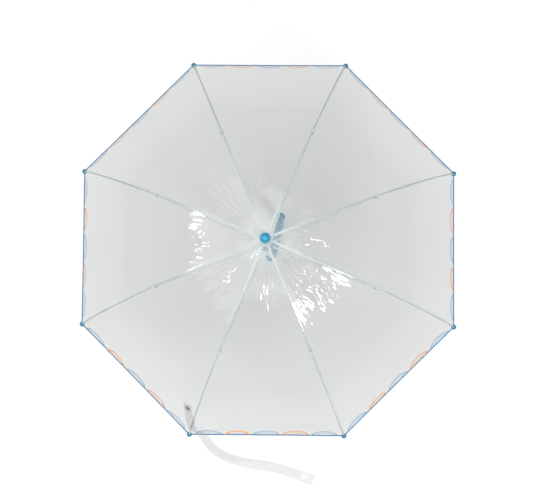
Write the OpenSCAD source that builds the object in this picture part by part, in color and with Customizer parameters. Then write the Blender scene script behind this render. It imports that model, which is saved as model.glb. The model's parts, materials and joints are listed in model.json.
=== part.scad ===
// Children's dome umbrella with a clear film canopy, shown open.
// The shaft stands along +Z. The origin is the middle of the straight grip.
// Ribs stand every 45 degrees from +X. Each panel spans from its rib to the next.

/* [Canopy] */
// Radius of the circle through the eight rib tips
tip_circle_r = 370; // [340:1:400]
// Angle of the dome's arc from the crown to a rib tip
dome_sweep = 69.5; // [60:0.5:75]
// Thickness of a film panel
film_t = 0.8; // [0.6:0.1:1.2]
// Gap between the middle of a rib and the film above it
film_gap = 2.4; // [2.2:0.1:3]
// How far the hem stops short of a rib's end
hem_setback = 6; // [5.5:0.5:10]

/* [Ribs and stretchers] */
// Radius of a fibreglass rib
rib_r = 1.5; // [1.2:0.1:1.6]
// Distance from the shaft to the place where a stretcher holds its rib
knee_r = 210; // [190:1:230]
// Radius of a stretcher rod
stretcher_r = 1.2; // [1:0.1:1.3]
// Radius of a rib's ball tip
tip_ball_r = 4.8; // [4:0.1:5.5]

/* [Shaft] */
// Outer radius of the steel shaft
shaft_r = 4; // [3.5:0.1:4]
// Wall of the steel shaft
shaft_wall = 0.8; // [0.6:0.1:1]
// Height of the rib pivots above the middle of the grip
crown_z = 530; // [520:1:560]
// Radius of the ferrule ball on top
ferrule_r = 9; // [8:0.1:9.5]

/* [Runner] */
// Drop of the runner's pivots below the crown's, canopy open
runner_drop = 137; // [130:1:145]
// Length of the runner's sleeve below its pivots
sleeve_len = 38; // [34:1:42]
// Outer radius of the runner's sleeve
sleeve_r = 7.5; // [7.3:0.1:7.8]

/* [Handle] */
// Radius of the handle's round bar
grip_r = 8.5; // [7.5:0.1:9]
// Radius of the crook, to the middle of the bar
crook_r = 44; // [38:1:46]
// Direction of the crook round the shaft
crook_azimuth = 9; // [0:1:12]

/* [Tie strap] */
// Width of the film strap
strap_w = 18; // [14:1:20]
// Thickness of the film strap
strap_t = 1; // [0.8:0.1:1.2]

/* [Hidden] */
$fn = 48;
cut = 1;
running_gap = 0.05;
sector = 360 / 8;

// The dome's arc lies in each rib's plane, with its centre on the shaft's axis.
// Points in that plane are [distance from the axis, height from the rib pivots].
rib_pivot_r = 9;
dome_r = tip_circle_r / sin(dome_sweep);
pivot_t = asin(rib_pivot_r / dome_r);
knee_t = asin(knee_r / dome_r);
hem_t = dome_sweep - hem_setback / dome_r * 180 / PI;
arc_drop = dome_r * cos(pivot_t);
function on_arc(t, off = 0) = [(dome_r + off) * sin(t), (dome_r + off) * cos(t) - arc_drop];
function arc_angle(length) = length / dome_r * 180 / PI;

// Knee, where the rib flexes and the stretcher's rivet hangs just below it.
knee = on_arc(knee_t);
knee_along = [cos(knee_t), -sin(knee_t)];
knee_below = [-sin(knee_t), -cos(knee_t)];
rivet_back = 5;
rivet_below = 6;
rivet = knee - rivet_back * knee_along + rivet_below * knee_below;

// Rib eye on the crown wire
eye_r = 1.9;
eye_bore_r = 0.8;
wire_r = 0.6;
rib_eye_w = 3;

// Knee clip
knee_end_gap = 1;
clip_len = 8;
clip_w = 4.4;
clip_rise = 1.2;
clip_drop = rivet_below + 2;
fork_w = 1.9;
fork_top = 2.8;
rivet_r = 0.75;

// Runner pivots
runner_pivot = [10, -runner_drop];
runner_slot_w = 3;
stretcher_eye_w = 2.2;
neck_w = 1.5;
neck_len = 6;
stretcher_len = norm(rivet - runner_pivot);
stretcher_tilt = atan2(rivet[1] - runner_pivot[1], rivet[0] - runner_pivot[0]);

// How far the runner slides as the canopy folds. The inner ribs swing down until the
// knees are closed_knee_r from the axis, and the stretchers then hang from the rivets.
closed_knee_r = 14.5;
crown_pivot = [rib_pivot_r, 0];
rib_swing = acos((closed_knee_r - rib_pivot_r) / norm(knee - crown_pivot))
    - atan2(-knee[1], knee[0] - rib_pivot_r);
rivet_arm = rivet - crown_pivot;
closed_rivet = crown_pivot + [
    rivet_arm[0] * cos(rib_swing) + rivet_arm[1] * sin(rib_swing),
    rivet_arm[1] * cos(rib_swing) - rivet_arm[0] * sin(rib_swing)
];
runner_travel = runner_pivot[1] - closed_rivet[1]
    + sqrt(pow(stretcher_len, 2) - pow(closed_rivet[0] - runner_pivot[0], 2));

// Crown notch, washer and ferrule, as heights above the rib pivots
notch_r = 12;
notch_low = -4;
notch_high = 1.9;
rib_slot_w = 3.4;
rib_slot_r = 6.4;
film_inner_r = 6;
washer_r = 13;
washer_low = 3.5;
washer_high = 4.7;
shaft_top = 12;
ferrule_mid = washer_high + ferrule_r - 1.2;

// Handle
grip_low = -32;
grip_high = 34;
grip_top = 38;
grip_top_r = 6;
crook_tip_len = 18;
shaft_end = -10;

// Catches, both at the same side of the shaft, halfway between two ribs
catch_azimuth = sector / 2;
catch_w = 1.6;
catch_slot_w = 2;
catch_reach = 6.3;
catch_root = 1;
groove_r = 6.7;
groove_w = 2.4;
sleeve_low = crown_z - runner_drop - sleeve_len;
sleeve_high = crown_z - runner_drop + 6;
top_catch_high = sleeve_low - 0.4;
top_catch_len = 14;
window_low = crown_z - runner_drop - 26;
window_high = crown_z - runner_drop - 17;
bottom_catch_low = window_low - runner_travel + 0.5;
bottom_catch_len = 8;

// Tie strap, from its snap over the fifth rib and the hem, then free.
// The first four points lie over the film, and the others are chosen by hand.
strap_lift = film_gap + film_t + 1;
snap_t = 55.2;
snap_y = 17;
snap_r = 5;
snap_gap = 0.35;
strap_route = [
    over_film(54, 21, strap_lift), over_film(snap_t, snap_y, strap_lift),
    over_film(61.8, -3, strap_lift + 3.4), over_film(67.6, -24, strap_lift + 1.4),
    [-379, -54, -266], [-381, -104, -275], [-366, -172, -281], [-361, -243, -289]
];
strap_faces_up = [
    film_up(54, 1), film_up(snap_t, 1), film_up(61.8, 0), film_up(67.6, -1),
    [-0.5, -0.3, 0.8], [-0.15, -0.1, 0.98], [0, 0, 1], [0, 0, 1]
];

// A point on the film's outside near the fifth rib, y to the side of that rib.
function over_film(t, y, off) =
    let (p = on_arc(t, off)) [-(p[0] - abs(y) * tan(sector / 2)), y, p[1]];

// The film's outward direction beside that rib, at its +Y side (1), -Y side (-1) or over it (0)
function film_up(t, side) =
    let (out = [-sin(t) * cos(side * sector / 2), side * sin(t) * sin(sector / 2),
                cos(t) * cos(sector / 2)]) out / norm(out);

// Moves what is drawn round the crown to its height on the shaft.
module at_crown() { translate([0, 0, crown_z]) children(); }

// Turns what is drawn in the first rib's plane to another rib.
module at_rib(i) { rotate([0, 0, sector * (i - 1)]) at_crown() children(); }

// A round rod along the dome's arc from angle t1 to t2
module arc_rod(t1, t2, r) {
    translate([0, 0, -arc_drop]) rotate([90, 0, 0]) rotate([0, 0, 90 - t2])
        rotate_extrude(angle = t2 - t1, $fn = 96) translate([dome_r, 0]) circle(r, $fn = 24);
}

// A cylinder across the rib's plane at point p
module across(p, r, w) {
    translate([p[0], 0, p[1]]) rotate([90, 0, 0]) cylinder(r = r, h = w, center = true);
}

// A shape laid along the rib at the knee, x along it and z away from the shaft's side
module at_knee() {
    translate([knee[0], 0, knee[1]]) rotate([0, knee_t, 0]) children();
}

// ---- Shaft, crown and ferrule ----

module catch_slot(z, h) {
    rotate([0, 0, catch_azimuth]) translate([0, -catch_slot_w / 2, z])
        cube([shaft_r + cut, catch_slot_w, h]);
}

module shaft() {
    color("gainsboro") difference() {
        translate([0, 0, shaft_end]) cylinder(r = shaft_r, h = crown_z + shaft_top - shaft_end);
        translate([0, 0, shaft_end - cut])
            cylinder(r = shaft_r - shaft_wall, h = crown_z + shaft_top - shaft_end + 2 * cut);
        catch_slot(top_catch_high - top_catch_len - 1, top_catch_len + 1.5);
        catch_slot(bottom_catch_low - 0.6, bottom_catch_len + 1.2);
    }
}

module ferrule_ball() {
    color("deepskyblue") at_crown() difference() {
        translate([0, 0, ferrule_mid]) sphere(ferrule_r, $fn = 64);
        translate([0, 0, washer_high - ferrule_r * 2]) cylinder(r = ferrule_r * 2, h = ferrule_r * 2);
        translate([0, 0, washer_high - cut]) cylinder(
            r = shaft_r + running_gap, h = shaft_top - washer_high + cut + 0.3);
    }
}

module crown_washer() {
    color("whitesmoke") at_crown() difference() {
        translate([0, 0, washer_low]) cylinder(r = washer_r, h = washer_high - washer_low);
        translate([0, 0, washer_low - cut]) cylinder(r = shaft_r + running_gap, h = 4 * cut);
    }
}

module crown_notch() {
    color("ghostwhite") at_crown() difference() {
        translate([0, 0, notch_low]) cylinder(r = notch_r, h = notch_high - notch_low);
        translate([0, 0, notch_low - cut])
            cylinder(r = shaft_r + running_gap, h = notch_high - notch_low + 2 * cut);
        for (i = [0 : 7]) rotate([0, 0, sector * i])
            translate([rib_slot_r, -rib_slot_w / 2, notch_low - cut])
                cube([notch_r, rib_slot_w, notch_high - notch_low + 2 * cut]);
        rotate_extrude() translate([rib_pivot_r - wire_r - running_gap, -wire_r - running_gap])
            square([2 * (wire_r + running_gap), notch_high + wire_r + cut]);
    }
}

module crown_wire() {
    color("silver") at_crown() rotate_extrude() translate([rib_pivot_r, 0]) circle(wire_r, $fn = 24);
}

// ---- Runner and catches ----

module runner() {
    pivot_z = crown_z - runner_drop;
    color("deepskyblue") difference() {
        union() {
            translate([0, 0, sleeve_low]) cylinder(r = sleeve_r, h = sleeve_high - sleeve_low);
            translate([0, 0, sleeve_low]) cylinder(r = sleeve_r + 0.7, h = 3);
            translate([0, 0, pivot_z - 5]) cylinder(r = runner_pivot[0] + 2.5, h = 10);
        }
        translate([0, 0, sleeve_low - cut])
            cylinder(r = shaft_r + running_gap, h = sleeve_high - sleeve_low + 2 * cut);
        for (i = [0 : 7]) rotate([0, 0, sector * i])
            translate([sleeve_r + 0.1, -runner_slot_w / 2, pivot_z - 5 - cut])
                cube([runner_pivot[0], runner_slot_w, 10 + 2 * cut]);
        rotate([0, 0, catch_azimuth]) {
            translate([0, -groove_w / 2, sleeve_low - cut])
                cube([groove_r, groove_w, sleeve_high - sleeve_low + 2 * cut]);
            translate([0, -groove_w / 2, window_low])
                cube([sleeve_r + cut, groove_w, window_high - window_low]);
        }
    }
}

// A spring catch's blade, from its outline of [reach, height] points
module catch_blade(outline) {
    rotate([0, 0, catch_azimuth]) translate([0, catch_w / 2, 0]) rotate([90, 0, 0])
        linear_extrude(catch_w) polygon(outline);
}

module top_catch() {
    color("silver") catch_blade([
        [catch_root, top_catch_high], [catch_reach, top_catch_high],
        [catch_reach, top_catch_high - 1.5], [shaft_r, top_catch_high - top_catch_len + 2],
        [catch_root, top_catch_high - top_catch_len]
    ]);
}

module bottom_catch() {
    color("silver") catch_blade([
        [catch_root, bottom_catch_low], [catch_reach, bottom_catch_low],
        [catch_reach, bottom_catch_low + 1.5], [shaft_r, bottom_catch_low + bottom_catch_len - 1],
        [catch_root, bottom_catch_low + bottom_catch_len]
    ]);
}

// ---- Handle ----

module handle() {
    color("dodgerblue") rotate([0, 0, crook_azimuth]) difference() {
        union() {
            translate([0, 0, grip_low]) cylinder(r = grip_r, h = grip_high - grip_low);
            translate([0, 0, grip_high])
                cylinder(r1 = grip_r, r2 = grip_top_r, h = grip_top - grip_high);
            translate([crook_r, 0, grip_low]) rotate([90, 0, 0]) rotate([0, 0, 180])
                rotate_extrude(angle = 180, $fn = 96) translate([crook_r, 0]) circle(grip_r);
            translate([2 * crook_r, 0, grip_low]) {
                cylinder(r = grip_r, h = crook_tip_len);
                translate([0, 0, crook_tip_len]) sphere(grip_r);
            }
        }
        translate([0, 0, shaft_end - 0.2])
            cylinder(r = shaft_r + running_gap, h = grip_top - shaft_end + cut);
    }
}

// ---- Ribs, knee clips, tips and stretchers ----

module knee_clip() {
    difference() {
        at_knee() translate([-rivet_back - clip_len / 2, -clip_w / 2, -clip_drop])
            cube([clip_len, clip_w, clip_drop + clip_rise]);
        at_knee() translate([-rivet_back - clip_len, 0, 0]) rotate([0, 90, 0])
            cylinder(r = rib_r + 0.1, h = 2 * clip_len);
        at_knee() translate([-rivet_back - clip_len, -fork_w / 2, -clip_drop - cut])
            cube([2 * clip_len, fork_w, clip_drop + cut - fork_top]);
        across(rivet, rivet_r + 0.02, 2 * clip_w);
    }
}

module knee_rivet() {
    across(rivet, rivet_r, clip_w);
    for (side = [-1, 1]) translate([rivet[0], side * (clip_w / 2 + 0.3), rivet[1]])
        rotate([90, 0, 0]) cylinder(r = rivet_r + 0.6, h = 0.6, center = true);
}

module rib_inner(i) {
    color("honeydew") at_rib(i) {
        difference() {
            union() {
                across([rib_pivot_r, 0], eye_r, rib_eye_w);
                arc_rod(pivot_t + arc_angle(eye_r / 2), knee_t - arc_angle(knee_end_gap), rib_r);
            }
            across([rib_pivot_r, 0], eye_bore_r, 2 * rib_eye_w);
        }
        knee_clip();
        knee_rivet();
    }
}

module rib_outer(i) {
    color("honeydew") at_rib(i)
        arc_rod(knee_t + arc_angle(knee_end_gap), dome_sweep, rib_r);
}

module rib_tip(i) {
    tip = on_arc(dome_sweep);
    color("dodgerblue") at_rib(i) difference() {
        translate([tip[0], 0, tip[1]]) sphere(tip_ball_r);
        arc_rod(dome_sweep - arc_angle(2 * tip_ball_r), dome_sweep + arc_angle(0.4),
                rib_r + running_gap);
    }
}

module stretcher(i) {
    color("honeydew") at_rib(i) difference() {
        union() {
            across(runner_pivot, eye_r, stretcher_eye_w);
            across(rivet, eye_r, neck_w);
            translate([runner_pivot[0], 0, runner_pivot[1]]) rotate([0, -stretcher_tilt, 0]) {
                translate([stretcher_len - neck_len, -neck_w / 2, -stretcher_r])
                    cube([neck_len, neck_w, 2 * stretcher_r]);
                translate([eye_r / 2, 0, 0]) rotate([0, 90, 0])
                    cylinder(r = stretcher_r, h = stretcher_len - neck_len - eye_r / 2);
            }
        }
        across(runner_pivot, eye_bore_r, 2 * stretcher_eye_w);
        across(rivet, rivet_r + running_gap, 2 * neck_w);
    }
}

// ---- Film panels ----

// One station across a panel: two points below the film and two above, all on
// straight lines from rib to rib, drawn round the panel's own middle plane.
function station(t) = [
    for (side_layer = [[-1, 0], [1, 0], [1, 1], [-1, 1]])
        let (p = on_arc(t, film_gap + film_t * side_layer[1]))
            [p[0] * cos(sector / 2), side_layer[0] * (p[0] * sin(sector / 2) - 0.3), p[1]]
];

// A closed skin of film from angle t1 to t2 in equal steps
module film(i, t1, t2, steps) {
    points = [for (k = [0 : steps]) each station(t1 + (t2 - t1) * k / steps)];
    last = 4 * steps;
    faces = concat(
        [[3, 2, 1, 0], [last, last + 1, last + 2, last + 3]],
        [for (k = [0 : steps - 1]) for (e = [0 : 3])
            [4 * k + e, 4 * k + (e + 1) % 4, 4 * k + 4 + (e + 1) % 4, 4 * k + 4 + e]]
    );
    color([0.85, 0.9, 0.92, 0.4]) rotate([0, 0, sector * (i - 0.5)]) at_crown()
        polyhedron(points, faces);
}

crease_gap_t = arc_angle(0.2);
module panel_inner(i) { film(i, asin(film_inner_r / dome_r), knee_t - crease_gap_t, 8); }
module panel_outer(i) { film(i, knee_t + crease_gap_t, hem_t, 10); }

// ---- Tie strap ----

// A smooth curve through the route's points, with k whole and u from 0 to 1
function route_at(list, k, u) =
    let (
        a = list[max(k - 1, 0)], b = list[k], c = list[k + 1],
        d = list[min(k + 2, len(list) - 1)]
    ) 0.5 * (2 * b + (c - a) * u + (2 * a - 5 * b + 4 * c - d) * u * u
        + (3 * b - 3 * c + d - a) * u * u * u);

module tie_strap() {
    steps = 4;
    spans = len(strap_route) - 1;
    stations = [for (k = [0 : spans - 1]) for (s = [0 : steps - 1])
        [route_at(strap_route, k, s / steps), route_at(strap_route, k, (s + 1) / steps),
         route_at(strap_faces_up, k, s / steps)]];
    points = [for (st = stations)
        let (
            ahead = (st[1] - st[0]) / norm(st[1] - st[0]),
            wide = cross(st[2], ahead) / norm(cross(st[2], ahead)),
            up = cross(ahead, wide)
        ) for (q = [[-1, -1], [1, -1], [1, 1], [-1, 1]])
            st[0] + wide * q[0] * strap_w / 2 + up * q[1] * strap_t / 2];
    last = len(points) - 4;
    faces = concat(
        [[0, 1, 2, 3], [last + 3, last + 2, last + 1, last]],
        [for (k = [0 : len(stations) - 2]) for (e = [0 : 3]) for (half = [0, 1])
            let (a = 4 * k + e, b = 4 * k + (e + 1) % 4)
                half == 0 ? [a, a + 4, b + 4] : [a, b + 4, b]]
    );
    color("lightcyan") at_crown() polyhedron(points, faces);
}

module strap_snap() {
    at = over_film(snap_t, snap_y, strap_lift + strap_t / 2 + snap_gap);
    up = film_up(snap_t, 1);
    color("dimgray") at_crown() translate(at) rotate([0, acos(up[2]), atan2(up[1], up[0])]) {
        cylinder(r = snap_r, h = 0.8);
        translate([0, 0, 0.8]) cylinder(r1 = snap_r - 0.6, r2 = snap_r - 2, h = 1);
    }
}

shaft();
ferrule_ball();
crown_washer();
crown_notch();
crown_wire();
runner();
top_catch();
bottom_catch();
handle();
tie_strap();
strap_snap();
for (i = [1 : 8]) {
    rib_inner(i);
    rib_outer(i);
    rib_tip(i);
    stretcher(i);
    panel_inner(i);
    panel_outer(i);
}
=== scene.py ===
# %% [markdown]
# # A child's dome umbrella in clear film
# The real umbrella is a bird cage of thin glass fibre rods with clear film pulled over it. The
# moving skeleton is loaded as a fixed frame. This lesson dresses it: film, hem, print, rods,
# balls, crook and strap. Everything is in metres, and +Z runs up the shaft.

# %% Load the frame
import json
import math

import bpy
import numpy as np
from mathutils import Matrix, Vector, noise


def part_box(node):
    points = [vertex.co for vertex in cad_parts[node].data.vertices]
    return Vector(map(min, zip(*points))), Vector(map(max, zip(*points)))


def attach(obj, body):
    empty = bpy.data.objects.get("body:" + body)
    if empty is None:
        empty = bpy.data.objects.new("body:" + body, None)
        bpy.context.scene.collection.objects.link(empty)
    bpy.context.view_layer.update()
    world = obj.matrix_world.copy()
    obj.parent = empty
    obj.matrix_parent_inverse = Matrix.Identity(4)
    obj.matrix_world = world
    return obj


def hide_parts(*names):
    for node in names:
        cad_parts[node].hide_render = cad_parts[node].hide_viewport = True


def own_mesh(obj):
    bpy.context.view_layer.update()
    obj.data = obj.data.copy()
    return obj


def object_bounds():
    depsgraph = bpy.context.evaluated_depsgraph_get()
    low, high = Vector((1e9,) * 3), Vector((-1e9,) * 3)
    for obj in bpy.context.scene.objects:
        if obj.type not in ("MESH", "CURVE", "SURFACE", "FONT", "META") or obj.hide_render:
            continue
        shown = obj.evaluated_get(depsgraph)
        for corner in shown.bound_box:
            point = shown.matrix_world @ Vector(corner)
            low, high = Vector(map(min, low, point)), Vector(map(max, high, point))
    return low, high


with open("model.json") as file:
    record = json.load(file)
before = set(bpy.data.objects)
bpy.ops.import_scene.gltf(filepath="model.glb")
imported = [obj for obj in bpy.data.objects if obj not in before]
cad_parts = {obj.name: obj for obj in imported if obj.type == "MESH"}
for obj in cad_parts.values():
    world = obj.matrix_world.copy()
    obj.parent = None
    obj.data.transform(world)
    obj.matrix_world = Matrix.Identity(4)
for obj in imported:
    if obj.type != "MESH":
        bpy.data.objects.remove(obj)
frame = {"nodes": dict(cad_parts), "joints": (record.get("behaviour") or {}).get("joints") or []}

cad_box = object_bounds()
joints = {j["name"]: j for j in frame["joints"]}

# %% [markdown]
# ## The dome's own measure
# All eight ribs follow one circle whose centre lies on the shaft. Three places of the frame give
# that circle: the crown pivot, the knee and the tip. A point on a rib is then named by its angle
# from straight up, which is easier to think in than x, y and z.

# %% Work out the dome's circle
MM = 0.001
RIBS = range(1, 9)
SECTOR = math.radians(45)
crown_pivot = Vector(joints["rib_1_pivot"]["pos_m"])
knee = Vector(joints["rib_1_flex"]["pos_m"])
tip_low, tip_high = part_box("rib_tip_1")
tip = (tip_low + tip_high) / 2
dome_mid_z = (tip.x**2 + tip.z**2 - knee.x**2 - knee.z**2) / (2 * (tip.z - knee.z))
dome_r = math.hypot(knee.x, knee.z - dome_mid_z)
crown_t = math.asin(crown_pivot.x / dome_r)
knee_t = math.asin(knee.x / dome_r)
tip_t = math.atan2(tip.x, tip.z - dome_mid_z)
HEM_SHORT = 6 * MM
hem_t = tip_t - HEM_SHORT / dome_r
print(f"dome radius {dome_r:.4f} m")
print("crown, knee, tip at", [round(math.degrees(t), 1) for t in (crown_t, knee_t, tip_t)], "deg")


def on_arc(t, lift=0.0):
    """The point on the first rib's arc at angle t from straight up, lifted off it."""
    return Vector(((dome_r + lift) * math.sin(t), 0, dome_mid_z + (dome_r + lift) * math.cos(t)))


def turned_to_rib(i):
    return Matrix.Rotation(SECTOR * (i - 1), 4, "Z")


def turned_to_panel(i):
    return Matrix.Rotation(SECTOR * (i - 0.5), 4, "Z")


# %% [markdown]
# ## Workbench helpers
# Operators act on whatever is selected, so each step first clears the selection. `new_object`
# takes points and faces that a formula made, and `settle` writes an object's place into its mesh,
# because every finished piece has to sit at the origin, unturned.

# %% Helpers for objects
def only(*objs):
    bpy.ops.object.select_all(action="DESELECT")
    for o in objs:
        o.select_set(True)
    bpy.context.view_layer.objects.active = objs[0]


def new_object(name, points, faces):
    mesh = bpy.data.meshes.new(name)
    mesh.from_pydata([tuple(p) for p in points], [], faces)
    mesh.update()
    obj = bpy.data.objects.new(name, mesh)
    bpy.context.scene.collection.objects.link(obj)
    return obj


def settle(obj, name=None):
    only(obj)
    bpy.ops.object.transform_apply(location=True, rotation=True, scale=True)
    if name:
        obj.name = obj.data.name = name
    return obj


def copy_turned(obj, name, matrix):
    """A copy with its own mesh, turned about the shaft and settled there."""
    twin = obj.copy()
    twin.data = obj.data.copy()
    twin.name = twin.data.name = name
    twin.data.transform(matrix)
    bpy.context.scene.collection.objects.link(twin)
    return twin


def join(parts, name):
    only(*parts)
    if len(parts) > 1:
        bpy.ops.object.join()
    parts[0].name = parts[0].data.name = name
    return parts[0]


def smooth(obj, angle=40):
    only(obj)
    bpy.ops.object.shade_smooth_by_angle(angle=math.radians(angle))
    return obj


def tidy_normals(obj):
    only(obj)
    bpy.ops.object.mode_set(mode="EDIT")
    bpy.ops.mesh.select_all(action="SELECT")
    bpy.ops.mesh.remove_doubles(threshold=1e-6)
    bpy.ops.mesh.normals_make_consistent(inside=False)
    bpy.ops.object.mode_set(mode="OBJECT")
    return obj


def block(name, place, size):
    """A box of the given size, laid at a place that a matrix gives."""
    bpy.ops.object.select_all(action="DESELECT")
    bpy.ops.mesh.primitive_cube_add(size=1)
    made = bpy.context.object
    made.matrix_world = place @ Matrix.Diagonal((*size, 1))
    return settle(made, name)


def finish_with(obj, kind, **settings):
    """Adds one modifier and applies it."""
    mod = obj.modifiers.new(kind.title(), kind)
    for key, value in settings.items():
        setattr(mod, key, value)
    only(obj)
    bpy.ops.object.modifier_apply(modifier=mod.name)
    return obj


# %% [markdown]
# ## Turning on a lathe
# Balls, washers and runners are round about an axis. As on a lathe, the shape is a list of radii
# and heights. A circle is added at the first one, and each next ring is extruded and resized.

# %% The lathe
def lathe(name, profile, sides=48):
    """A closed solid of revolution about Z from (radius, height) pairs, lowest ring first."""
    r0, z0 = profile[0]
    bpy.ops.object.select_all(action="DESELECT")
    bpy.ops.mesh.primitive_circle_add(
        vertices=sides, radius=r0, fill_type="NGON", location=(0, 0, z0))
    obj = bpy.context.object
    settle(obj, name)
    bpy.ops.object.mode_set(mode="EDIT")
    bpy.ops.mesh.select_all(action="SELECT")
    for (r1, z1), (r2, z2) in zip(profile, profile[1:]):
        bpy.ops.mesh.extrude_region_move(TRANSFORM_OT_translate={"value": (0, 0, z2 - z1)})
        bpy.ops.transform.resize(value=(r2 / r1, r2 / r1, 1), center_override=(0, 0, 0))
    bpy.ops.object.mode_set(mode="OBJECT")
    return tidy_normals(obj)


def ball_profile(r, start, end, steps):
    """Rings of a ball about height 0, from one angle above its south pole to another."""
    return [(r * math.sin(a), -r * math.cos(a)) for a in np.linspace(start, end, steps + 1)]


print("rings of a 5 mm ball:", np.round(ball_profile(5, 0.3, 2.8, 4), 2).tolist())

# %% [markdown]
# ## Materials
# Each finish is a small node graph, and the graphs share four helpers: an empty graph, a node with
# its inputs set, a noise, and a ramp of colours or greys. Painted pictures would need every piece
# unwrapped. Noise on the object's own coordinates needs no unwrapping and moves with its piece.

# %% Node helpers
def graph(name):
    mat = bpy.data.materials.new(name)
    mat.use_nodes = True
    mat.node_tree.nodes.clear()
    return mat, mat.node_tree.nodes, mat.node_tree.links


def add(nodes, kind, **inputs):
    node = nodes.new(kind)
    for key, value in inputs.items():
        node.inputs[key.replace("_", " ")].default_value = value
    return node


def grain(nodes, links, scale, detail=3.0, stretch=(1, 1, 1)):
    """Noise on the object's own coordinates, so that it stays still when the piece moves."""
    place = nodes.new("ShaderNodeTexCoord")
    mapping = nodes.new("ShaderNodeMapping")
    mapping.inputs["Scale"].default_value = stretch
    links.new(place.outputs["Object"], mapping.inputs["Vector"])
    made = add(nodes, "ShaderNodeTexNoise", Scale=scale, Detail=detail)
    links.new(mapping.outputs["Vector"], made.inputs["Vector"])
    return made


def ramp(nodes, links, source, low, high, start=0.3, end=0.7):
    """Maps a 0 to 1 value onto a range of colours or greys."""
    made = nodes.new("ShaderNodeValToRGB")
    made.color_ramp.elements[0].position = start
    made.color_ramp.elements[1].position = end
    made.color_ramp.elements[0].color = (*low, 1)
    made.color_ramp.elements[1].color = (*high, 1)
    links.new(source.outputs["Fac"], made.inputs["Fac"])
    return made


def grey(v):
    return (v, v, v)


print("node helpers ready, middle grey is", grey(0.5))

# %% [markdown]
# ## Clear film
# Real soft vinyl lets nearly all the light through, greys it a little, hazes where it is scuffed,
# and mirrors the lamps at its surface. A glass shader would bend the light as a solid block does.
# So a tinted Transparent shader is mixed with a little haze, and then with gloss. The gloss grows
# as the film is seen edge on, alike from inside and outside, because the film is one thin layer.
# Within 55 mm of the shaft the film is bunched into pleats, so the haze thickens there.

# %% Mix the film
def film_material(name, tint, haze, haze_colour, rough=0.07, bump=0.15, crown=0.0):
    mat, nodes, links = graph(name)
    cloudy = grain(nodes, links, 9, 4)
    clear = nodes.new("ShaderNodeBsdfTransparent")
    tint_ramp = ramp(nodes, links, cloudy, [c * 0.985 for c in tint], tint)
    links.new(tint_ramp.outputs["Color"], clear.inputs["Color"])
    milk = add(nodes, "ShaderNodeBsdfDiffuse", Color=(*haze_colour, 1))
    haze_ramp = ramp(nodes, links, cloudy, grey(haze * 0.6), grey(haze * 1.4))
    place = nodes.new("ShaderNodeTexCoord")
    level = add(nodes, "ShaderNodeVectorMath")
    level.operation = "MULTIPLY"
    level.inputs[1].default_value = (1, 1, 0)
    links.new(place.outputs["Object"], level.inputs[0])
    away = nodes.new("ShaderNodeVectorMath")
    away.operation = "LENGTH"
    links.new(level.outputs[0], away.inputs[0])
    bunched = nodes.new("ShaderNodeMapRange")
    bunched.inputs["From Max"].default_value = 0.055
    bunched.inputs["To Min"].default_value = crown
    bunched.inputs["To Max"].default_value = 0.0
    links.new(away.outputs["Value"], bunched.inputs["Value"])
    cloud = nodes.new("ShaderNodeMath")
    links.new(haze_ramp.outputs["Color"], cloud.inputs[0])
    links.new(bunched.outputs[0], cloud.inputs[1])
    body = nodes.new("ShaderNodeMixShader")
    links.new(cloud.outputs[0], body.inputs["Fac"])
    links.new(clear.outputs[0], body.inputs[1])
    links.new(milk.outputs[0], body.inputs[2])
    fine = grain(nodes, links, 160, 2)
    dents = add(nodes, "ShaderNodeBump", Strength=bump, Distance=0.0006)
    links.new(fine.outputs["Fac"], dents.inputs["Height"])
    gloss = add(nodes, "ShaderNodeBsdfAnisotropic", Roughness=rough)
    links.new(dents.outputs["Normal"], gloss.inputs["Normal"])
    facing = add(nodes, "ShaderNodeLayerWeight", Blend=0.5)
    steep = nodes.new("ShaderNodeMath")
    steep.operation = "POWER"
    steep.inputs[1].default_value = 3.0
    links.new(facing.outputs["Facing"], steep.inputs[0])
    mirror = add(nodes, "ShaderNodeMapRange", To_Min=0.05, To_Max=0.20)
    links.new(steep.outputs[0], mirror.inputs["Value"])
    out = nodes.new("ShaderNodeMixShader")
    links.new(mirror.outputs[0], out.inputs["Fac"])
    links.new(body.outputs[0], out.inputs[1])
    links.new(gloss.outputs[0], out.inputs[2])
    end = nodes.new("ShaderNodeOutputMaterial")
    links.new(out.outputs[0], end.inputs["Surface"])
    return mat


film = film_material("clear_film", (0.738, 0.742, 0.744), 0.03, (0.75, 0.78, 0.78), crown=0.42)
seam_film = film_material("welded_seam", (0.92, 0.955, 0.935), 0.22, (0.86, 0.92, 0.89), 0.16)
strap_film = film_material("strap_film", (0.73, 0.73, 0.74), 0.12, (0.78, 0.78, 0.80), 0.10)
washer_film = film_material("clear_moulding", (0.95, 0.97, 0.975), 0.22, (0.92, 0.95, 0.96), 0.12)
print("film graph:", len(film.node_tree.nodes), "nodes")

# %% [markdown]
# ## Plastic, fibre and metal
# Moulded plastic is one Principled shader. The colour drifts slightly, as pigment does in a small
# moulding, and the roughness has a fine orange peel, which breaks up the reflections. Glass fibre
# rods and plated steel are the same graph with other numbers and a grain stretched along the piece.

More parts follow.
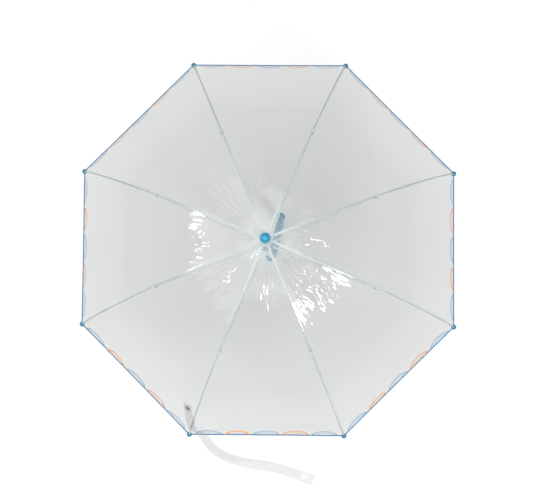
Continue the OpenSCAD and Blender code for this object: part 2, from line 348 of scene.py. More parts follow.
# %% Moulded plastic, rods and metal
def solid_material(name, colour, rough, drift=0.06, scale=60, stretch=(1, 1, 1), bump=0.05,
                   sockets=None):
    mat, nodes, links = graph(name)
    spots = grain(nodes, links, scale, 3, stretch)
    paint = ramp(nodes, links, spots, [c * (1 - drift) for c in colour],
                 [min(1, c * (1 + drift)) for c in colour])
    sheen = ramp(nodes, links, spots, grey(rough * 0.85), grey(min(1, rough * 1.2)))
    peel = grain(nodes, links, scale * 9, 2, stretch)
    dents = add(nodes, "ShaderNodeBump", Strength=bump, Distance=0.0002)
    links.new(peel.outputs["Fac"], dents.inputs["Height"])
    body = nodes.new("ShaderNodeBsdfPrincipled")
    links.new(paint.outputs["Color"], body.inputs["Base Color"])
    links.new(sheen.outputs["Color"], body.inputs["Roughness"])
    links.new(dents.outputs["Normal"], body.inputs["Normal"])
    for key, value in (sockets or {}).items():
        body.inputs[key].default_value = value
    end = nodes.new("ShaderNodeOutputMaterial")
    links.new(body.outputs[0], end.inputs["Surface"])
    return mat


ball_blue = solid_material("ball_blue", (0.002, 0.27, 0.46), 0.13, sockets={"Coat Weight": 0.6})
tip_blue = solid_material("tip_blue", (0.004, 0.19, 0.38), 0.22, sockets={"Coat Weight": 0.3})
handle_blue = solid_material("handle_blue", (0.004, 0.27, 0.40), 0.16, sockets={"Coat Weight": 0.5})
runner_blue = solid_material("runner_blue", (0.01, 0.28, 0.46), 0.28)
fibre = solid_material("glass_fibre", (0.82, 0.885, 0.84), 0.32, 0.06, 45, (1, 1, 0.25), 0.12,
                       {"Coat Weight": 0.2})
white_mould = solid_material("white_moulding", (0.80, 0.83, 0.83), 0.38)
clip_mould = solid_material("clip_moulding", (0.56, 0.62, 0.59), 0.6)
steel = solid_material("plated_steel", (0.62, 0.64, 0.66), 0.27, 0.1, 220, (1, 1, 0.03), 0.1,
                       {"Metallic": 1.0})
wire_steel = solid_material("drawn_wire", (0.55, 0.56, 0.58), 0.3, sockets={"Metallic": 1.0})
snap_nickel = solid_material("dark_nickel", (0.30, 0.31, 0.33), 0.26, sockets={"Metallic": 1.0})
piping_blue = solid_material("piping_blue", (0.006, 0.20, 0.40), 0.4, 0.12, 300, bump=0.3)
print("materials so far:", [m.name for m in bpy.data.materials if m.use_nodes])

# %% [markdown]
# ## Ink
# The print is ink on film: flat, bright and a little see-through. Its colour is painted on each
# arch as an attribute, so one material serves all the inks.

# %% Printed ink
def ink_material():
    mat, nodes, links = graph("printed_ink")
    paint = nodes.new("ShaderNodeAttribute")
    paint.attribute_name = "ink"
    speckle = grain(nodes, links, 700, 2)
    body = add(nodes, "ShaderNodeBsdfPrincipled", Roughness=0.3)
    links.new(paint.outputs["Color"], body.inputs["Base Color"])
    clear = add(nodes, "ShaderNodeBsdfTransparent", Color=(0.92, 0.92, 0.92, 1))
    cover = ramp(nodes, links, speckle, grey(0.80), grey(0.97))
    mixed = nodes.new("ShaderNodeMixShader")
    links.new(cover.outputs["Color"], mixed.inputs["Fac"])
    links.new(clear.outputs[0], mixed.inputs[1])
    links.new(body.outputs[0], mixed.inputs[2])
    end = nodes.new("ShaderNodeOutputMaterial")
    links.new(mixed.outputs[0], end.inputs["Surface"])
    return mat


ink = ink_material()


def coat(obj, mat):
    obj.data.materials.clear()
    obj.data.materials.append(mat)
    return obj


print("ink graph:", len(ink.node_tree.nodes), "nodes")

# %% [markdown]
# ## Carried-over metal and mouldings
# These frame parts already have the right shape: the shaft with its catch slots, the notched
# crown, its wire, both spring catches and the stretcher rods. They only need their finish.

# %% Finish the frame parts that stay
for node_name, mat in (
    ("shaft", steel), ("crown_notch", white_mould), ("crown_wire", wire_steel),
    ("top_catch", wire_steel), ("bottom_catch", wire_steel),
):
    coat(frame["nodes"][node_name], mat)
for i in RIBS:
    coat(frame["nodes"][f"stretcher_{i}"], fibre)
print("kept: shaft, crown notch, crown wire, two catches and", len(RIBS), "stretchers")

# %% [markdown]
# ## The film
# Each panel is flat from rib to rib and bent over the dome. Two things keep it from looking like
# card. It is gathered under the washer, so fine pleats run out from the crown, and it lies a little
# loose, so broad ripples cross it. Both are a height field that falls to nothing at the ribs, where
# the film is welded. A cloth simulation was not needed, because the ribs fix the surface.

# %% The film's surface
half = SECTOR / 2
washer_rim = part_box("crown_washer")[1].x
clamp_r, hole_r = washer_rim + 0.6 * MM, 6 * MM
film_start_t, clamped_t = math.asin(clamp_r / dome_r), math.asin(hole_r / dome_r)
FILM_OFF, CROWN_RISE = 1.8 * MM, 1.0 * MM
CROWN_EDGE, CROWN_FALL = 13 * MM, 22 * MM
PLEAT_REACH, TUCK_REACH = 85 * MM, 32 * MM
SLACK_R, SLACK_SPREAD = 0.12, 0.075
panel_looseness = {1: 0.8, 2: 1.0, 3: 1.1, 4: 1.2, 5: 1.0, 6: 2.3, 7: 1.3, 8: 0.9}


def film_lift(t):
    """Height of the film above a rib's middle line. It climbs over the crown's edge."""
    r = dome_r * math.sin(t)
    near = max(0.0, 1 - max(0.0, r - CROWN_EDGE) / CROWN_FALL)
    return FILM_OFF + CROWN_RISE * near * near * (3 - 2 * near)


def ripple(i, u, t):
    """How far panel i stands off its flat shape at u across it, from -1 to 1, and angle t."""
    r = dome_r * math.sin(t)
    held = 1 - u * u
    y = u * r
    pleats = math.sin(23 * u + 2.1 * noise.noise((u * 2.5, r * 30, i * 7.3)))
    pleats += 0.6 * math.sin(41 * u + 3 * noise.noise((u * 4, r * 22, i * 3.1)))
    gathered = pleats * r * (0.0065 * math.exp(-((r / PLEAT_REACH) ** 2))
                             + 0.007 * math.exp(-((r / TUCK_REACH) ** 2)))
    broad = noise.noise((y * 14, r * 9, i * 5.7)) * 2.2 * MM
    folds = noise.noise((y * 38 + r * 14, r * 20 - y * 9, i * 11.9)) * 0.8 * MM
    crumple = 1 - abs(noise.noise((y * 75 - r * 20, r * 52 + y * 25, i * 4.3))) * 2.4
    centre = math.exp(-(((r - SLACK_R) / SLACK_SPREAD) ** 2))
    loose = panel_looseness[i]
    at_hem = min(1.0, (hem_t - t) / 0.12)
    sag = -1.6 * MM * min(1, r / 0.2)
    settle_in = min(1.0, r / (60 * MM))
    wavy = (broad * (0.35 + centre) + folds * (0.2 + loose * centre)) * settle_in
    wavy += crumple * loose * centre * 0.42 * MM * settle_in
    return held * (gathered + (sag + wavy) * (0.25 + 0.75 * at_hem))


def film_point(i, u, t, off=0.0):
    """A point on panel i, in the panel's own frame: x out along its middle, y across."""
    p = on_arc(t, film_lift(t))
    normal = Vector((math.sin(t), 0, math.cos(t) * math.cos(half))).normalized()
    flat = Vector((p.x * math.cos(half), u * p.x * math.sin(half), p.z))
    return flat + normal * (ripple(i, u, t) + off)


print("film runs from", [round(math.degrees(t), 2) for t in (film_start_t, hem_t)], "degrees")

# %% [markdown]
# ## Cutting the panels
# A real panel is one gore of film. The skeleton folds at the knee, so each gore is laid as an inner
# and an outer skin that share the same row of points there. The film under the washer stays
# clamped on the crown, so it is a piece of its own.

# %% Cut and lay the sixteen skins
SIDE = {"inner": (film_start_t, knee_t, 84), "outer": (knee_t, hem_t, 84)}
ACROSS = 72


def film_skin(name, i, t1, t2, rows):
    points, faces = [], []
    for k in range(rows + 1):
        t = t1 + (t2 - t1) * k / rows
        points += [film_point(i, -1 + 2 * c / ACROSS, t) for c in range(ACROSS + 1)]
    for k in range(rows):
        for c in range(ACROSS):
            a = k * (ACROSS + 1) + c
            faces.append((a, a + ACROSS + 1, a + ACROSS + 2, a + 1))
    skin = new_object(name, points, faces)
    skin.data.transform(turned_to_panel(i))
    return skin


def fold_with(obj):
    """Gives the sheet a mesh of its own."""
    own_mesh(obj)


skins = {}
for i in RIBS:
    for part in SIDE:
        skin = coat(film_skin(f"film_{part}_{i}", i, *SIDE[part]), film)
        only(skin)
        bpy.ops.object.shade_smooth()
        skins[part, i] = skin

gores = [film_skin("gore", i, clamped_t, film_start_t, 6) for i in RIBS]
collar = coat(tidy_normals(join(gores, "film_collar")), film)
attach(collar, "frame")
print("film:", len(skins), "skins of", len(skins["outer", 1].data.polygons), "faces at most")

# %% [markdown]
# ## The piped hem
# The rim is bound with a narrow blue tape, folded over the film's edge. A bevelled curve would run
# straight past the ripples. So a small flattened ring is swept along each edge on the same surface
# formula as the film, and the two never part.

# %% Bind the hem
HEM_STEPS = 72
HEM_SIDES = 10
tape_half_w, tape_half_t = 1.9 * MM, 0.95 * MM


def hem_tape(i):
    points, faces = [], []
    for c in range(HEM_STEPS + 1):
        u = -0.985 + 1.97 * c / HEM_STEPS
        mid = film_point(i, u, hem_t)
        up = (film_point(i, u, hem_t - 0.01) - mid).normalized()
        out = up.cross(Vector((0, 1, 0))).normalized()
        pinch = 1 + 0.07 * math.sin(c * 2.3) + 0.05 * math.sin(c * 5.1 + i)
        for s in range(HEM_SIDES):
            a = 2 * math.pi * s / HEM_SIDES
            points.append(mid + up * math.sin(a) * tape_half_w * pinch
                          + out * math.cos(a) * tape_half_t)
    for c in range(HEM_STEPS):
        for s in range(HEM_SIDES):
            a, b = c * HEM_SIDES + s, c * HEM_SIDES + (s + 1) % HEM_SIDES
            faces.append((a, b, b + HEM_SIDES, a + HEM_SIDES))
    last = HEM_STEPS * HEM_SIDES
    faces.append(tuple(reversed(range(HEM_SIDES))))
    faces.append(tuple(range(last, last + HEM_SIDES)))
    tape = new_object(f"hem_tape_{i}", points, faces)
    tape.data.transform(turned_to_panel(i))
    return smooth(tidy_normals(tape), 60)


hems = {i: coat(hem_tape(i), piping_blue) for i in RIBS}
print("hem:", len(hems), "tapes")

# %% [markdown]
# ## The printed arches
# Five small rainbows stand on the hem of every panel, cool ones and warm ones in turn. Each is
# three nested bands, given as inner and outer radius in millimetres. A band is laid out flat, by
# distance along the hem and up the film, and then mapped onto the surface a quarter of a millimetre
# above it. A picture on the film would blur at this size, while thin geometry keeps clean edges.

# %% Print the arches
PITCH = 53 * MM
BLUE, PALE_BLUE = (0.07, 0.28, 0.50), (0.16, 0.40, 0.58)
YELLOW, ORANGE, RED = (0.92, 0.55, 0.02), (0.88, 0.30, 0.03), (0.82, 0.10, 0.03)
COOL = ((21.0, 24.0, BLUE), (16.8, 18.4, PALE_BLUE), (12.0, 13.4, BLUE))
WARM = ((21.0, 24.0, YELLOW), (17.2, 20.4, RED), (9.4, 11.2, ORANGE))
ROSE = ((20.8, 24.0, RED), (16.6, 18.6, YELLOW), (9.4, 11.2, RED))
ORDER = (COOL, WARM, COOL, ROSE, COOL)
ARCH_STEPS = 26


def on_hem(i, along, up, off):
    t = hem_t - up / dome_r
    reach = on_arc(t, film_lift(t)).x * math.sin(half)
    return film_point(i, along / reach, t, off)


def arches(i):
    points, faces, colours = [], [], []
    for n, bands in enumerate(ORDER):
        middle = (n - 2) * PITCH
        for r_in, r_out, colour in bands:
            first = len(points)
            for s in range(ARCH_STEPS + 1):
                a = math.pi * s / ARCH_STEPS
                wobble = 1 + 0.02 * math.sin(3 * a + n + i)
                for r in (r_in * MM, r_out * MM):
                    along, up = middle - r * wobble * math.cos(a), r * wobble * math.sin(a)
                    points.append(on_hem(i, along, up + 0.8 * MM, 0.25 * MM))
                    colours.append((*colour, 1))
            for s in range(ARCH_STEPS):
                a = first + 2 * s
                faces.append((a, a + 1, a + 3, a + 2))
    print_skin = new_object(f"printed_arches_{i}", points, faces)
    print_skin.data.transform(turned_to_panel(i))
    paint = print_skin.data.color_attributes.new("ink", "FLOAT_COLOR", "POINT")
    paint.data.foreach_set("color", [v for c in colours for v in c])
    return print_skin


prints = {i: coat(arches(i), ink) for i in RIBS}
print("print:", len(prints), "strips of", len(prints[1].data.polygons), "faces")

# %% [markdown]
# ## Hanging the film on the skeleton
# Film, hem and print move with the panel bodies.

# %% Hang film, hem and print on their bodies
for i in RIBS:
    for obj, body in ((skins["inner", i], f"panel_inner_{i}"), (skins["outer", i], f"panel_outer_{i}"),
                      (hems[i], f"panel_outer_{i}"), (prints[i], f"panel_outer_{i}")):
        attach(obj, body)
        fold_with(obj)
    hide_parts(f"panel_inner_{i}")
    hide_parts(f"panel_outer_{i}")

# %% [markdown]
# ## Ribs
# A rib is one springy rod from the crown to its ball tip, although the frame has it as two lengths
# joined at the knee. The film's pull bends it into the arc, and it springs straight as the umbrella
# closes. A disc is added and spun round the dome's centre, once for each length.

# %% Spin a rod along the dome
ROD_R = 1.5 * MM


def arc_rod(name, r, t1, t2, steps, sides=14, lift=0.0):
    """A rod along the first rib's arc, as a disc spun about the dome's centre."""
    bpy.ops.object.select_all(action="DESELECT")
    bpy.ops.mesh.primitive_circle_add(vertices=sides, radius=r, fill_type="NGON")
    rod = bpy.context.object
    rod.matrix_world = Matrix.Translation(on_arc(t1, lift)) @ Matrix.Rotation(
        math.pi / 2 + t1, 4, "Y")
    settle(rod, name)
    bpy.ops.object.mode_set(mode="EDIT")
    bpy.ops.mesh.select_all(action="SELECT")
    bpy.ops.mesh.spin(steps=steps, angle=t2 - t1, center=(0, 0, dome_mid_z), axis=(0, -1, 0))
    bpy.ops.object.mode_set(mode="OBJECT")
    return tidy_normals(rod)


def eye(name, at, r_out, r_in, width):
    """A flattened eye across the rib's plane: a ring with rounded edges."""
    b = width * 0.18
    h = width / 2
    ring = [(r_in, -h), (r_out - b, -h), (r_out, -h + b), (r_out, h - b), (r_out - b, h), (r_in, h)]
    sides = 28
    points = [Vector((r * math.cos(a), z, r * math.sin(a))) + at
              for a in np.linspace(0, 2 * math.pi, sides, endpoint=False) for r, z in ring]
    n = len(ring)
    turns = [(k * n, (k + 1) % sides * n) for k in range(sides)]
    faces = [(a + e, a + (e + 1) % n, b + (e + 1) % n, b + e) for a, b in turns for e in range(n)]
    return tidy_normals(new_object(name, points, faces))


rods = {"inner": smooth(arc_rod("rod_inner", ROD_R, crown_t + 1.5 * MM / dome_r, knee_t, 44), 50),
        "outer": smooth(arc_rod("rod_outer", ROD_R, knee_t, tip_t, 52), 50)}
eye_master = smooth(eye("eye_master", crown_pivot, 1.95 * MM, 0.75 * MM, 2.8 * MM))


def straighten(obj):
    """Gives the rod a mesh of its own."""
    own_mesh(obj)


print("rods:", len(rods["inner"].data.polygons), "and", len(rods["outer"].data.polygons), "faces")

# %% [markdown]
# ## Knee clips
# Where a stretcher meets its rib, a moulded clip is crimped round the rod, with two ears below that
# hold the stretcher's eye on a rivet. The sleeve is a short spun tube, the ears are bevelled plates,
# and the rivet is turned with domed heads.

# %% Model one knee clip
rivet_at = Vector(joints["stretcher_1_pivot"]["pos_m"])
clip_mid_t = knee_t - 5 * MM / dome_r


def ear(at):
    """One plate with eased edges, tilted to follow the rod."""
    made = block("ear", Matrix.Translation(at) @ Matrix.Rotation(clip_mid_t, 4, "Y"),
                 (6.4 * MM, 1.1 * MM, 6.6 * MM))
    bpy.ops.object.mode_set(mode="EDIT")
    bpy.ops.mesh.select_all(action="SELECT")
    bpy.ops.mesh.bevel(offset=0.4 * MM, segments=3, affect="EDGES")
    bpy.ops.object.mode_set(mode="OBJECT")
    return made


def knee_clip():
    half_sleeve = 4 * MM / dome_r
    sleeve = arc_rod("sleeve", 2.15 * MM, clip_mid_t - half_sleeve, clip_mid_t + half_sleeve, 4, 20)
    finish_with(sleeve, "BEVEL", width=0.35 * MM, segments=2, limit_method="ANGLE")
    parts = [sleeve]
    ear_mid = (on_arc(clip_mid_t) + rivet_at) / 2 + (rivet_at - on_arc(clip_mid_t)) * 0.08
    for side in (-1, 1):
        parts.append(ear(ear_mid + Vector((0, side * 1.6 * MM, 0))))
    head = [(r * MM, z * MM) for r, z in ((0.9, -3.1), (1.35, -2.85), (1.4, -2.2), (0.72, -2.15))]
    rivet = lathe("rivet", head + [(r, -z) for r, z in reversed(head)], 20)
    rivet.data.transform(Matrix.Translation(rivet_at) @ Matrix.Rotation(math.pi / 2, 4, "X"))
    return smooth(join(parts + [rivet], "clip_master"))


clip_master = knee_clip()
print("knee clip:", len(clip_master.data.polygons), "faces")

# %% [markdown]
# ## Welded seams
# Neighbouring panels are welded in a narrow band over each rib. The band is hazier than the film,
# and it is what reads as a pale line from above. A strip is laid along the arc and drops away on
# both sides with the two panels that it joins.

# %% Model one seam
SEAM_HALF_W = 1.9 * MM


def seam(part):
    t1, t2, rows = SIDE[part]
    cols = 6
    points, faces = [], []
    for k in range(rows + 1):
        t = t1 + (t2 - t1) * k / rows
        p = on_arc(t, film_lift(t) + 0.35 * MM)
        half_w = min(SEAM_HALF_W, p.x * math.sin(half) * 0.8)
        for c in range(cols + 1):
            y = half_w * (2 * c / cols - 1) * (1 + 0.04 * math.sin(k * 0.9))
            wavy = 0.1 * MM * math.sin(k * 1.7)
            points.append(Vector((p.x - abs(y) * math.tan(half), y, p.z + wavy)))
    for k in range(rows):
        for c in range(cols):
            a = k * (cols + 1) + c
            faces.append((a, a + cols + 1, a + cols + 2, a + 1))
    return smooth(new_object(f"seam_{part}", points, faces), 60)


seams = {part: seam(part) for part in SIDE}
print("seam:", 2 * SEAM_HALF_W, "m wide")

# %% [markdown]
# ## Ball tips
# Each rod ends in a small moulded ball. A plain sphere would have no parting line, so it is turned on
# the lathe with a faint ridge, and then tilted to lie along the rod's end.

# %% Turn one ball tip
TIP_R = 4.8 * MM


def ball_tip():
    rings = ball_profile(TIP_R, math.radians(20), math.radians(86), 9)
    ridge = [(TIP_R * 1.012, -0.1 * MM), (TIP_R * 1.012, 0.1 * MM)]
    rest = [(r, -z) for r, z in reversed(ball_profile(TIP_R, math.radians(9), math.radians(86), 10))]
    made = lathe("tip_master", rings + ridge + rest, 36)
    along_rod = Matrix.Rotation(math.pi / 2 + tip_t, 4, "Y")
    made.data.transform(Matrix.Translation(on_arc(tip_t)) @ along_rod)
    return smooth(made)


tip_master = ball_tip()
print("ball tip:", len(tip_master.data.polygons), "faces")

# %% [markdown]
# ## Eight ribs from one
# Rod, seam, eye, clip and ball are each modelled once on the first rib. A copy with a mesh of its
# own is turned to each of the eight places and rides on that rib's body. The masters are removed.

# %% Copy the rib set to all eight places
for i in RIBS:
    turn = turned_to_rib(i)
    body = {"inner": f"rib_inner_{i}", "outer": f"rib_outer_{i}"}
    for part in SIDE:
        rod = coat(copy_turned(rods[part], f"rib_rod_{part}_{i}", turn), fibre)
        band = coat(copy_turned(seams[part], f"seam_{part}_{i}", turn), seam_film)
        for obj in (rod, band):
            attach(obj, body[part])
            straighten(obj)
        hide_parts(body[part])
    for master, name in ((eye_master, "rib_eye"), (clip_master, "knee_clip")):
        piece = copy_turned(master, f"{name}_{i}", turn)
        coat(piece, fibre if master is eye_master else clip_mould)
        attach(piece, body["inner"])
    ball = coat(copy_turned(tip_master, f"ball_tip_{i}", turn), tip_blue)
    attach(ball, body["outer"])
    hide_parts(f"rib_tip_{i}")
for master in (*rods.values(), *seams.values(), eye_master, clip_master, tip_master):
    bpy.data.objects.remove(master)
print("ribs, seams, clips and tips: eight of each")

# %% [markdown]
# ## Ferrule and washer
# The glossy ball on top screws down on a clear washer, which clamps the gathered film. The ball has
# a small flat foot and a parting line. The washer is a shallow moulded dish with a rolled rim. Both
# are round, so the lathe gives each its whole outline in one list.

# %% Turn the ferrule ball and washer
ball_low, ball_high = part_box("ferrule_ball")
ferrule_r = (ball_high.x - ball_low.x) / 2
ferrule_mid = ball_high.z - ferrule_r
foot_angle = math.acos(min(1, (ferrule_mid - ball_low.z) / ferrule_r))
low_half = ball_profile(ferrule_r, foot_angle, math.radians(88), 14)
top_half = ball_profile(ferrule_r, math.radians(3), math.radians(88), 20)
top_half = [(r, -z) for r, z in reversed(top_half)]
parting = [(ferrule_r * 1.004, -0.08 * MM), (ferrule_r * 1.004, 0.08 * MM)]
ferrule = lathe("ferrule", low_half + parting + top_half, 72)
ferrule.data.transform(Matrix.Translation((0, 0, ferrule_mid)))
coat(smooth(ferrule), ball_blue)
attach(ferrule, "frame")
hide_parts("ferrule_ball")

washer_low, washer_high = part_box("crown_washer")
wr, wz = washer_high.x, washer_low.z
washer = lathe("washer", [
    (wr * 0.86, wz), (wr * 0.97, wz + 0.15 * MM), (wr, wz + 0.6 * MM), (wr * 0.97, wz + 1.15 * MM),
    (wr * 0.90, wz + 1.2 * MM), (wr * 0.80, wz + 0.75 * MM), (wr * 0.62, wz + 0.75 * MM),
    (wr * 0.55, wz + 1.2 * MM), (wr * 0.36, wz + 1.2 * MM)], 64)
coat(smooth(washer), washer_film)
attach(washer, "frame")
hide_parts("crown_washer")
print(f"ferrule ball {2 * ferrule_r:.4f} m across, washer {2 * wr:.4f} m across")

# %% [markdown]
# ## The runner
# The runner is a sleeve with a crown of slots, one for each stretcher's eye, and a small flange to
# push on. The body is turned, the slots are cut with a boolean, and every edge is eased by a bevel.
# A groove down the bore clears the two spring catches, and a window lets the lower one snap out.

# %% Turn the runner and cut its slots
run_low, run_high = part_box("runner")
pivot_z = run_high.z - 6 * MM
sleeve_r, head_r, bore_r = 7.5 * MM, (run_high.x - run_low.x) / 2, 4.1 * MM
GROOVE_R, CATCH_W = 6.7 * MM, 2.4 * MM
body = lathe("runner_body", [
    (sleeve_r + 0.2 * MM, run_low.z), (sleeve_r + 0.7 * MM, run_low.z + 0.5 * MM),
    (sleeve_r + 0.7 * MM, run_low.z + 2.5 * MM), (sleeve_r, run_low.z + 3.2 * MM),
    (sleeve_r - 0.35 * MM, run_low.z + 12 * MM), (sleeve_r - 0.35 * MM, run_low.z + 22 * MM),
    (sleeve_r, pivot_z - 7 * MM), (head_r, pivot_z - 5 * MM), (head_r, pivot_z + 4.4 * MM),
    (head_r - 0.6 * MM, pivot_z + 5 * MM), (sleeve_r, pivot_z + 5 * MM),
    (sleeve_r - 0.4 * MM, run_high.z)], 96)


def cut_with(target, tool):
    finish_with(target, "BOOLEAN", operation="DIFFERENCE", object=tool, solver="EXACT")
    bpy.data.objects.remove(tool)


for i in RIBS:
    slot_at = turned_to_rib(i) @ Matrix.Translation((sleeve_r + 5.1 * MM, 0, pivot_z))
    cut_with(body, block("slot", slot_at, (10 * MM, 3 * MM, 30 * MM)))
window_at = turned_to_panel(1) @ Matrix.Translation((sleeve_r, 0, pivot_z - 21.5 * MM))
cut_with(body, block("window", window_at, (6 * MM, CATCH_W, 9 * MM)))
run_len, run_mid = run_high.z - run_low.z, (run_high.z + run_low.z) / 2
groove_at = turned_to_panel(1) @ Matrix.Translation((GROOVE_R / 2, 0, run_mid))
cut_with(body, block("groove", groove_at, (GROOVE_R, CATCH_W, run_len + 2 * MM)))
bore = lathe("bore", [(bore_r, run_low.z - 1 * MM), (bore_r, run_high.z + 1 * MM)], 48)
cut_with(body, bore)
finish_with(body, "BEVEL", width=0.25 * MM, segments=2, limit_method="ANGLE")
runner = coat(smooth(body, 35), runner_blue)
runner.name = runner.data.name = "runner_moulding"
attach(runner, "runner")
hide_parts("runner")
print("runner:", len(runner.data.polygons), "faces")

# %% [markdown]
# ## The crook handle
# A round bar bent to a hook. A bevelled curve would make it too, but not its changes of thickness.
# So a disc at the top of the grip is extruded down, spun half a turn for the crook, extruded up
# again and closed with a dome. The two shallow grooves near its ends are part of the moulding.

# %% Bend the handle
grip_low, grip_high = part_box("handle")
crook_turn = math.radians(9)
grip_r = -grip_low.x
crook_r = (grip_high.x - grip_r) / (2 * math.cos(crook_turn))
bend_z = grip_low.z + crook_r + grip_r


def crook():
    bpy.ops.object.select_all(action="DESELECT")
    bpy.ops.mesh.primitive_circle_add(
        vertices=40, radius=4.3 * MM, fill_type="NGON", location=(0, 0, grip_high.z))
    made = bpy.context.object
    settle(made, "handle_master")
    bpy.ops.object.mode_set(mode="EDIT")
    bpy.ops.mesh.select_all(action="SELECT")

    def ring(r_was, r, z_was, z, x=0.0):
        bpy.ops.mesh.extrude_region_move(TRANSFORM_OT_translate={"value": (0, 0, z - z_was)})
        bpy.ops.transform.resize(value=(r / r_was, r / r_was, 1), center_override=(x, 0, z))

    top = grip_high.z
    down = [(4.3 * MM, top), (5.6 * MM, top - 0.1 * MM), (6.0 * MM, top - 0.6 * MM),
            (8.2 * MM, top - 3.4 * MM), (grip_r, top - 4.4 * MM), (grip_r, top - 7 * MM),
            (8.1 * MM, top - 7.6 * MM), (8.1 * MM, top - 8.6 * MM), (grip_r, top - 9.2 * MM),
            (grip_r, (top + bend_z) / 2), (grip_r, bend_z)]
    for (r1, z1), (r2, z2) in zip(down, down[1:]):
        ring(r1, r2, z1, z2)
    bpy.ops.mesh.spin(steps=40, angle=math.pi, center=(crook_r, 0, bend_z), axis=(0, 1, 0))
    far = 2 * crook_r
    up = [(grip_r, bend_z), (grip_r, bend_z + 12 * MM), (8.1 * MM, bend_z + 12.6 * MM),
          (8.1 * MM, bend_z + 13.6 * MM), (grip_r, bend_z + 14.2 * MM)]
    up += [(grip_r * math.cos(a), bend_z + 18 * MM + grip_r * math.sin(a))
           for a in np.linspace(0, math.radians(86), 9)]
    for (r1, z1), (r2, z2) in zip(up, up[1:]):
        ring(r1, r2, z1, z2, far)
    bpy.ops.object.mode_set(mode="OBJECT")
    made.data.transform(Matrix.Rotation(crook_turn, 4, "Z"))
    return tidy_normals(made)


handle = coat(smooth(crook(), 30), handle_blue)
handle.name = handle.data.name = "crook_handle"
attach(handle, "frame")
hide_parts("handle")
print(f"handle: bar radius {grip_r:.4f} m, crook radius {crook_r:.4f} m")

# %% [markdown]
# ## The tie strap
# A strip of the same film, held by a press stud beside one rib. It runs over the seam and the hem
# and then springs out into the air. A cloth simulation would let it drop straight down, and stiff
# vinyl does not do that, so its route is given as points with a facing direction each.

# %% Plan the strap's route
STRAP_W = 18 * MM
crown_z = crown_pivot.z
SNAP_T, SNAP_Y = math.radians(55.2), 17 * MM


def over_film(t, y, off):
    """A point over the film beside the fifth rib, y to its side."""
    p = on_arc(t, off)
    return Vector((-(p.x - abs(y) * math.tan(half)), y, p.z))


def film_up(t, side):
    """The film's outward direction there: side 1 towards +Y, -1 towards -Y, 0 over the rib."""
    return Vector((-math.sin(t) * math.cos(side * half), side * math.sin(t) * math.sin(half),
                   math.cos(t) * math.cos(half))).normalized()


lift = 4.2 * MM
OVER_RIB_T, AT_HEM_T = math.radians(61.8), math.radians(67.6)
route = [
    over_film(math.radians(54), 21 * MM, lift), over_film(SNAP_T, SNAP_Y, lift),
    over_film(OVER_RIB_T, -3 * MM, lift + 3.4 * MM),
    over_film(AT_HEM_T, -24 * MM, lift + 1.4 * MM),
] + [Vector((x * MM, y * MM, crown_z + z * MM)) for x, y, z in (
    (-379, -54, -266), (-381, -104, -275), (-366, -172, -281), (-361, -243, -289))]
facing_up = [film_up(SNAP_T, 1), film_up(SNAP_T, 1), film_up(OVER_RIB_T, 0), film_up(AT_HEM_T, -1)]
facing_up += [Vector(v) for v in ((-0.5, -0.3, 0.8), (-0.15, -0.1, 0.98), (0, 0, 1), (0, 0, 1))]
print("strap route:", len(route), "points")

# %% [markdown]
# ## Laying the strip
# A real strip twists gently between the places that hold it. A smooth curve runs through the points
# of the route, and a narrow cross-section with two raised edges is laid across it at each station,
# facing a direction that turns as smoothly. The raised edges are its welds. It is a single layer,
# as the film is, because a strip with thickness would mirror the lamps twice.

# %% Lay the strap
def through(points, k, u):
    """A smooth curve through all the points."""
    a, b = points[max(k - 1, 0)], points[k]
    c, d = points[k + 1], points[min(k + 2, len(points) - 1)]
    return 0.5 * (2 * b + (c - a) * u + (2 * a - 5 * b + 4 * c - d) * u**2
                  + (3 * b - 3 * c + d - a) * u**3)


def strap_frames(steps=12):
    """Middle, side and up direction at each station along the strap."""
    places = [(k, s / steps) for k in range(len(route) - 1) for s in range(steps)]
    places.append((len(route) - 2, 1.0))
    mids = [through(route, k, u) for k, u in places]
    made = []
    for n, (k, u) in enumerate(places):
        ahead = (mids[min(n + 1, len(mids) - 1)] - mids[max(n - 1, 0)]).normalized()
        side = through(facing_up, k, u).cross(ahead).normalized()
        made.append((mids[n], side, ahead.cross(side).normalized()))
    return made


stations = strap_frames()
section = [(-1, 0), (-0.93, 0.22), (-0.86, 0.22), (-0.80, 0), (-0.4, -0.04), (0, 0.05),
           (0.4, -0.04), (0.80, 0), (0.86, 0.22), (0.93, 0.22), (1, 0)]
points = [mid + side * a * STRAP_W / 2 + up * (b + 0.12 * math.sin(n * 0.55)) * MM
          for n, (mid, side, up) in enumerate(stations) for a, b in section]
w = len(section)
faces = [(n * w + c, n * w + c + 1, (n + 1) * w + c + 1, (n + 1) * w + c)
         for n in range(len(stations) - 1) for c in range(w - 1)]
strap = smooth(new_object("strap", points, faces), 60)
coat(strap, strap_film)

# %% [markdown]
# ## The strap's end patch
# A stiff square is welded on the free end, for the fingers. It is a cube made flat, with eased
# edges. Strap and patch ride on the rib they are snapped to, and fold in with it.

# %% Weld the end patch
def end_patch():
    """A stiff square welded on the free end, with rounded corners and a rim."""
    mid, side, up = stations[-5]
    ahead = side.cross(up) * -1
    turn = Matrix((ahead, side, up)).transposed().to_4x4()
    made = block("strap_patch", Matrix.Translation(mid + up * 0.75 * MM) @ turn,
                 (12 * MM, 14 * MM, 0.5 * MM))
    return finish_with(made, "BEVEL", width=0.2 * MM, segments=2)


patch = coat(end_patch(), seam_film)
for obj in (strap, patch):
    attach(obj, "rib_outer_5")
    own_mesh(obj)
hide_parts("tie_strap")
print("patch:", [round(v, 4) for v in patch.dimensions])

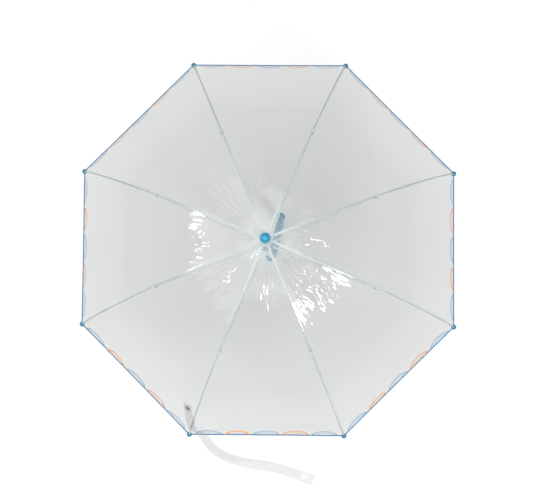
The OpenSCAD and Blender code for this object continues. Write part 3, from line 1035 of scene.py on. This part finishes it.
# %% [markdown]
# ## The press stud
# A domed nickel cap with a rolled rim and a dimple in the middle, pressed through the strap. It is
# turned on the lathe and then tilted to stand square on the film.

# %% Turn the stud
stud = lathe("press_stud", [(r * MM, z * MM) for r, z in (
    (4.4, 0), (4.95, 0.15), (5.0, 0.55), (4.7, 0.95), (4.2, 1.05), (3.9, 0.85), (3.3, 0.95),
    (2.6, 1.6), (1.9, 1.85), (1.2, 1.8), (0.8, 1.5), (0.3, 1.4))], 40)
stud.data.transform(Matrix.Translation(over_film(SNAP_T, SNAP_Y, lift + 0.65 * MM))
                    @ film_up(SNAP_T, 1).to_track_quat("Z", "Y").to_matrix().to_4x4())
coat(smooth(stud), snap_nickel)
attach(stud, "rib_outer_5")
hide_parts("strap_snap")
print("stud:", len(stud.data.polygons), "faces")

# %% [markdown]
# ## The floor
# The umbrella is shown as in a shop's picture: looking down the shaft onto white. The floor is one
# large matt sheet of paper just under the crook.

# %% Lay the floor
floor_z = cad_box[0][2] - 4 * MM
bpy.ops.object.select_all(action="DESELECT")
bpy.ops.mesh.primitive_plane_add(size=14, location=(0, 0, floor_z))
floor = bpy.context.object
floor.name = "floor"
paper, nodes, links = graph("white_paper")
pulp = ramp(nodes, links, grain(nodes, links, 3, 2), grey(0.93), grey(0.95))
sheet_shader = add(nodes, "ShaderNodeBsdfPrincipled", Roughness=0.9)
links.new(pulp.outputs["Color"], sheet_shader.inputs["Base Color"])
links.new(sheet_shader.outputs[0], nodes.new("ShaderNodeOutputMaterial").inputs["Surface"])
floor.data.materials.append(paper)
print(f"floor at {floor_z:.4f} m")

# %% [markdown]
# ## The lamps
# A very large soft lamp overhead does most of the work. Two small softboxes stand halfway up the
# sky. A slope of film that leans 22 degrees mirrors them upwards, so they put bright streaks on the
# ripples there, as a studio does to show that a clear thing has a surface.

# %% Hang the lamps
def lamp(name, at, size, power, target=(0, 0, 0.5)):
    light = bpy.data.lights.new(name, "AREA")
    light.shape = "RECTANGLE"
    light.size, light.size_y = size
    light.energy = power
    obj = bpy.data.objects.new(name, light)
    bpy.context.scene.collection.objects.link(obj)
    obj.location = at
    obj.rotation_euler = (Vector(target) - Vector(at)).to_track_quat("-Z", "Y").to_euler()
    return obj


def lamp_round(name, azimuth, elevation, distance, size, power):
    """A softbox at a bearing and height round the crown, always turned to face it."""
    az, el = math.radians(azimuth), math.radians(elevation)
    aim = Vector((0, 0, 0.5))
    reach = Vector((math.cos(az) * math.cos(el), math.sin(az) * math.cos(el), math.sin(el)))
    return lamp(name, aim + reach * distance, size, power, aim)


lamp("overhead", (-0.25, 0.6, 3.4), (4.2, 4.2), 96)
lamp_round("streak_a", -113, 45, 2.6, (0.40, 0.75), 28)
lamp_round("streak_b", 110, 44, 2.6, (0.18, 0.30), 7)
world = bpy.data.worlds.new("studio")
world.use_nodes = True
world.node_tree.nodes["Background"].inputs["Color"].default_value = (1, 1, 1, 1)
world.node_tree.nodes["Background"].inputs["Strength"].default_value = 0.42
bpy.context.scene.world = world
bpy.context.scene.view_settings.view_transform = "Standard"
print("lamps:", [light.name for light in bpy.data.lights])

# %% [markdown]
# ## The camera
# The camera hangs high over the crown and leans a few degrees. Its place is given from the middle of
# the rim's plane, because the rim is the flat ring that such a view is easily set against. A long
# lens keeps the near crown and the far rim close to one scale.

# %% Set up the camera
ABOVE_RIM = 2.587
SHIFT = Vector((0.003, 0.004, -ABOVE_RIM))
LEAN, SWING, ROLL = math.radians(-3.72), math.radians(-1.12), math.radians(-0.41)
VIEW_TURN = math.radians(67.5)
lean = (Matrix.Rotation(ROLL, 3, "Z") @ Matrix.Rotation(SWING, 3, "Y") @ Matrix.Rotation(LEAN, 3, "X"))
looking = lean @ Matrix.Rotation(VIEW_TURN, 3, "Z")
lens = bpy.data.cameras.new("camera")
lens.sensor_width = 36
lens.lens = 94.6
lens.clip_end = 30
camera = bpy.data.objects.new("camera", lens)
bpy.context.scene.collection.objects.link(camera)
place = looking.transposed().to_4x4()
place.translation = looking.transposed() @ -SHIFT + Vector((0, 0, tip.z))
camera.matrix_world = place
bpy.context.scene.camera = camera
print("camera at", [round(v, 3) for v in camera.location])
